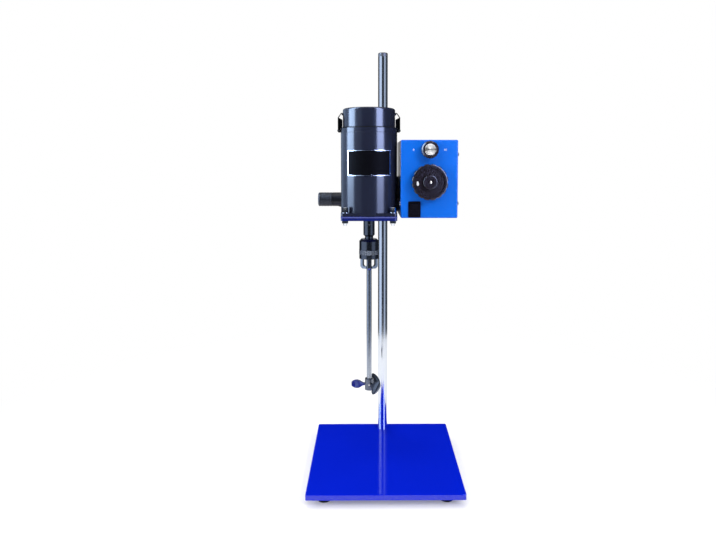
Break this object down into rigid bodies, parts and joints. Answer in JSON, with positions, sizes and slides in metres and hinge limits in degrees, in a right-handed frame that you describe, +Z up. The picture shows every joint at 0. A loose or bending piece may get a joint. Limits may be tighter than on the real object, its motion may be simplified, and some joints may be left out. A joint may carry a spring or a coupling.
{
  "type": "overhead stirrer",
  "caption": "Laboratory overhead stirrer: motor over a claw chuck with shaft and propeller, clamped to a column on a square base, with a control box beside the motor",
  "frame": {"origin": "centre of the square base, on the surface that the feet stand on", "axes": "+Z up along the column; +X to the right of a user who faces the control box; the user stands on the -Y side"},
  "size_m": [0.28, 0.28, 0.825],
  "materials": {
    "blue_enamel": "glossy royal blue enamel",
    "slate_enamel": "glossy dark slate enamel",
    "black_enamel": "satin black paint",
    "azure_enamel": "smooth azure enamel",
    "plate_black": "thin black plate with a bright edge, no text",
    "chrome": "polished chrome plating",
    "bright_steel": "turned and polished steel",
    "sheet_steel": "blackened spring steel sheet",
    "fastener_steel": "plated fasteners",
    "laminations": "stacked sheet edges",
    "bearing_steel": "ground bearing steel",
    "copper": "lacquered copper wire",
    "brass": "turned brass",
    "carbon": "pressed carbon",
    "rubber": "moulded black rubber",
    "nylon": "natural nylon",
    "black_plastic": "moulded black plastic",
    "grey_plastic": "moulded grey plastic",
    "black_bakelite": "polished black thermoset",
    "aluminium": "spun aluminium"
  },
  "bodies": {
    "base": {"base_plate": "blue_enamel", "rubber_feet": "rubber", "foot_screws": "fastener_steel", "column_tube": "chrome", "column_top_cap": "grey_plastic", "column_stud": "fastener_steel", "column_nut": "fastener_steel"},
    "clamp_sleeve": {"clamp_liner": "nylon"},
    "head": {"mounting_plate": "blue_enamel", "clamp_casting": "black_enamel", "casting_bolts": "fastener_steel", "motor_housing": "slate_enamel", "mounting_studs": "fastener_steel", "mounting_nuts": "chrome", "cap_nuts": "chrome", "stator_core": "laminations", "field_coils": "copper", "ball_bearings": "bearing_steel", "upper_end_shield": "slate_enamel", "brush_holders": "brass", "carbon_brushes": "carbon", "motor_cap": "slate_enamel", "clip_brackets": "sheet_steel", "clip_pins": "fastener_steel", "nameplate": "plate_black", "wire_bushing": "rubber", "controller_case": "black_enamel", "controller_panel": "azure_enamel", "case_screws": "fastener_steel", "cable_gland": "black_plastic", "variac_core": "copper", "timer_body": "black_plastic", "switch_body": "black_plastic"},
    "rotor": {"motor_shaft": "bright_steel", "armature_core": "laminations", "armature_winding": "copper", "commutator": "copper", "cooling_fan": "black_plastic", "chuck_arbor": "bright_steel", "set_screws": "fastener_steel", "chuck_body": "bright_steel", "chuck_face": "bright_steel", "stirring_shaft": "bright_steel", "propeller": "bright_steel"},
    "scroll_ring": {"chuck_ring": "bright_steel"},
    "jaw_1": {"chuck_jaw_1": "bright_steel"},
    "jaw_2": {"chuck_jaw_2": "bright_steel"},
    "jaw_3": {"chuck_jaw_3": "bright_steel"},
    "pad": {"clamp_pad": "brass"},
    "screw": {"clamp_screw": "bright_steel", "clamp_grip": "black_plastic"},
    "speed_control": {"speed_knob": "black_bakelite", "variac_shaft": "brass"},
    "timer_control": {"timer_knob": "black_bakelite", "timer_knob_cap": "aluminium"},
    "power_rocker": {"rocker": "black_bakelite"},
    "left_clip": {"clip_left": "sheet_steel"},
    "right_clip": {"clip_right": "sheet_steel"}
  },
  "joints": [
    {"name": "head_height", "type": "slide", "parent": "base", "child": "clamp_sleeve", "axis": [0, 0, 1], "range_m": [-0.115, 0.24]},
    {"name": "head_swivel", "type": "hinge", "parent": "clamp_sleeve", "child": "head", "pos_m": [0, 0.12, 0.52], "axis": [0, 0, 1], "range_deg": [-90, 90]},
    {"name": "pad_slide", "type": "slide", "parent": "head", "child": "pad", "axis": [-1, 0, 0], "range_m": [0, 0.003]},
    {"name": "clamp_screw_turn", "type": "hinge", "parent": "pad", "child": "screw", "pos_m": [-0.06, 0.12, 0.5215], "axis": [-1, 0, 0], "range_deg": [0, 721]},
    {"name": "rotor_spin", "type": "hinge", "parent": "head", "child": "rotor", "pos_m": [-0.029, 0.015, 0.45], "axis": [0, 0, 1], "continuous": true},
    {"name": "scroll_turn", "type": "hinge", "parent": "rotor", "child": "scroll_ring", "pos_m": [-0.029, 0.015, 0.425], "axis": [0, 0, 1], "range_deg": [0, 216]},
    {"name": "jaw_1_slide", "type": "slide", "parent": "rotor", "child": "jaw_1", "axis": [0, -1, 0], "range_m": [0, 0.00151]},
    {"name": "jaw_2_slide", "type": "slide", "parent": "rotor", "child": "jaw_2", "axis": [0.866, 0.5, 0], "range_m": [0, 0.00151]},
    {"name": "jaw_3_slide", "type": "slide", "parent": "rotor", "child": "jaw_3", "axis": [-0.866, 0.5, 0], "range_m": [0, 0.00151]},
    {"name": "speed_turn", "type": "hinge", "parent": "head", "child": "speed_control", "pos_m": [0.083, -0.03, 0.56235], "axis": [0, 1, 0], "range_deg": [0, 300]},
    {"name": "timer_turn", "type": "hinge", "parent": "head", "child": "timer_control", "pos_m": [0.083, -0.03, 0.622], "axis": [0, 1, 0], "range_deg": [0, 300]},
    {"name": "rocker_tilt", "type": "hinge", "parent": "head", "child": "power_rocker", "pos_m": [0.0553, -0.026, 0.51125], "axis": [-1, 0, 0], "range_deg": [0, 20]},
    {"name": "clip_right_open", "type": "hinge", "parent": "head", "child": "right_clip", "pos_m": [0.0282, 0.015, 0.659], "axis": [0, 1, 0], "range_deg": [0, 100]},
    {"name": "clip_left_open", "type": "hinge", "parent": "head", "child": "left_clip", "pos_m": [-0.0862, 0.015, 0.659], "axis": [0, -1, 0], "range_deg": [0, 100]}
  ],
  "couplings": [
    {"joint": "clamp_screw_turn", "follows": "pad_slide", "rad_per_m": 4188.8},
    {"joint": "jaw_1_slide", "follows": "scroll_turn", "m_per_rad": 0.00039789},
    {"joint": "jaw_2_slide", "follows": "scroll_turn", "m_per_rad": 0.00039789},
    {"joint": "jaw_3_slide", "follows": "scroll_turn", "m_per_rad": 0.00039789}
  ]
}
